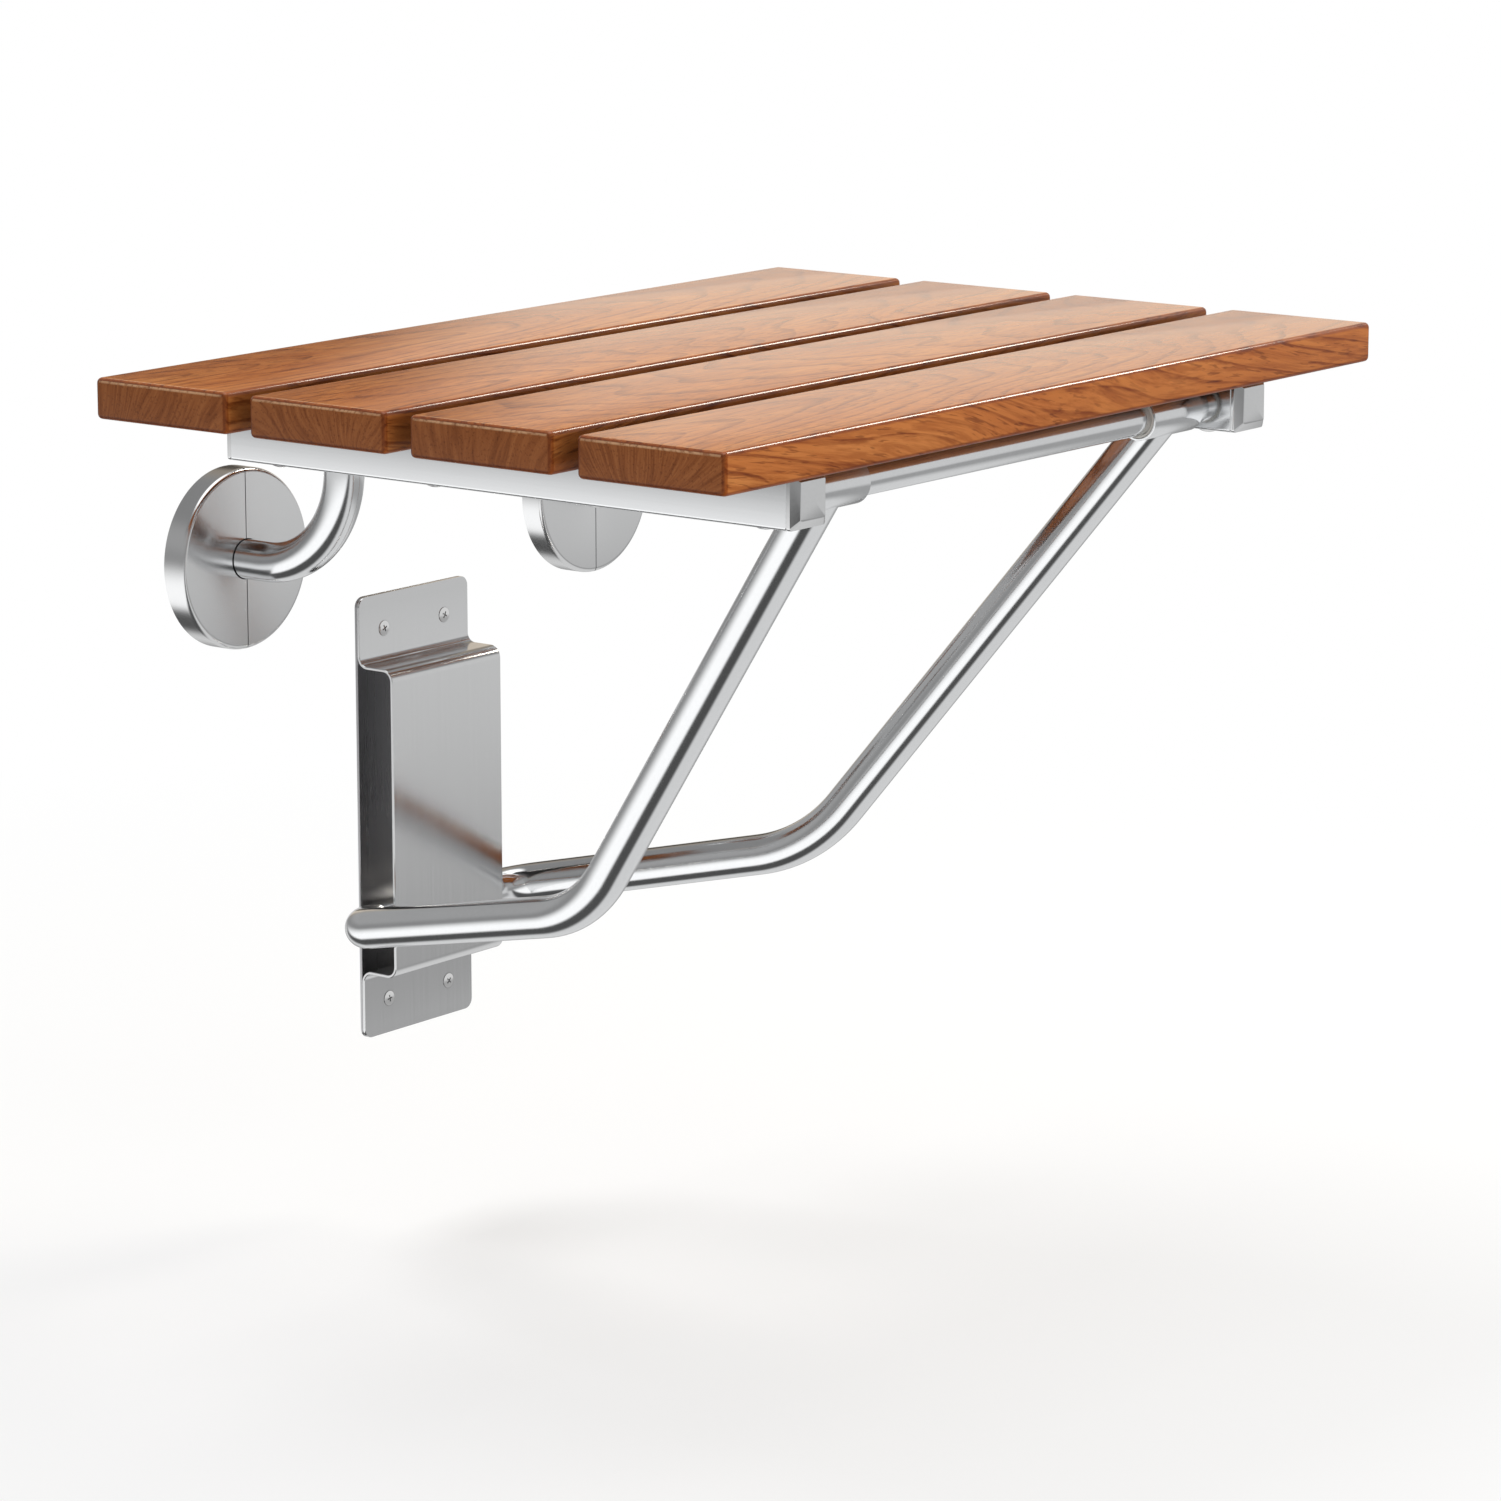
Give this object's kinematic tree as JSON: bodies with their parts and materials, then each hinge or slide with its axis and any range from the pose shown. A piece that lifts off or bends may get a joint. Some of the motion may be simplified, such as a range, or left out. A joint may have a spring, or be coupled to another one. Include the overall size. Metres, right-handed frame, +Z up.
{
  "type": "fold down wall seat",
  "caption": "Fold down wall seat: rounded teak slats on a steel frame that hinges on wall arms, with bent legs whose crossbar slides in a wall guide.",
  "frame": {"origin": "on the wall plane, at the middle of the four screws of the wall guide", "axes": "+X along the slats to the right as seen from the front, +Y into the wall, +Z up; the room is at -Y"},
  "size_m": [0.508, 0.4036, 0.358],
  "materials": {
    "teak": "oiled",
    "polished_tube": "polished",
    "polished_sheet": "polished",
    "rail_cap_steel": "polished",
    "plain_steel": "brushed",
    "screw_steel": "satin",
    "nylon": "matte"
  },
  "bodies": {
    "wall_mount": {"left_arm": "polished_tube", "right_arm": "polished_tube", "left_arm_sleeve": "polished_tube", "right_arm_sleeve": "polished_tube", "left_arm_bush": "nylon", "right_arm_bush": "nylon", "left_flange_base": "plain_steel", "right_flange_base": "plain_steel", "left_flange_screws": "screw_steel", "right_flange_screws": "screw_steel", "left_cover_outer_half": "polished_sheet", "left_cover_inner_half": "polished_sheet", "right_cover_outer_half": "polished_sheet", "right_cover_inner_half": "polished_sheet", "guide_back_plate": "plain_steel", "guide_front_plate": "polished_sheet", "guide_screws": "screw_steel"},
    "seat": {"slat_1": "teak", "slat_2": "teak", "slat_3": "teak", "slat_4": "teak", "left_rail": "polished_tube", "right_rail": "polished_tube", "left_rear_cap": "rail_cap_steel", "left_front_cap": "rail_cap_steel", "right_rear_cap": "rail_cap_steel", "right_front_cap": "rail_cap_steel", "rear_cross_tube": "polished_tube", "front_cross_tube": "polished_tube", "left_slat_screws": "screw_steel", "right_slat_screws": "screw_steel"},
    "legs": {"left_leg_tube": "polished_tube", "right_leg_tube": "polished_tube", "left_leg_sleeve": "polished_tube", "right_leg_sleeve": "polished_tube", "left_leg_bush": "nylon", "right_leg_bush": "nylon"},
    "crossbar": {"crossbar": "polished_tube"}
  },
  "joints": [
    {"name": "seat_fold", "type": "hinge", "parent": "wall_mount", "child": "seat", "pos_m": [0, -0.075, 0.21341], "axis": [-1, 0, 0], "range_deg": [0, 90]},
    {"name": "leg_swing", "type": "hinge", "parent": "seat", "child": "legs", "pos_m": [0, -0.35475, 0.21341], "axis": [1, 0, 0], "range_deg": [0, 46]},
    {"name": "crossbar_slide", "type": "slide", "parent": "wall_mount", "child": "crossbar", "axis": [0, 0, 1], "range_m": [0, 0.116]}
  ],
  "couplings": [
    {"joint": "leg_swing", "follows": "seat_fold", "ratio": 0.51045},
    {"joint": "crossbar_slide", "follows": "seat_fold", "m_per_rad": 0.073576}
  ]
}
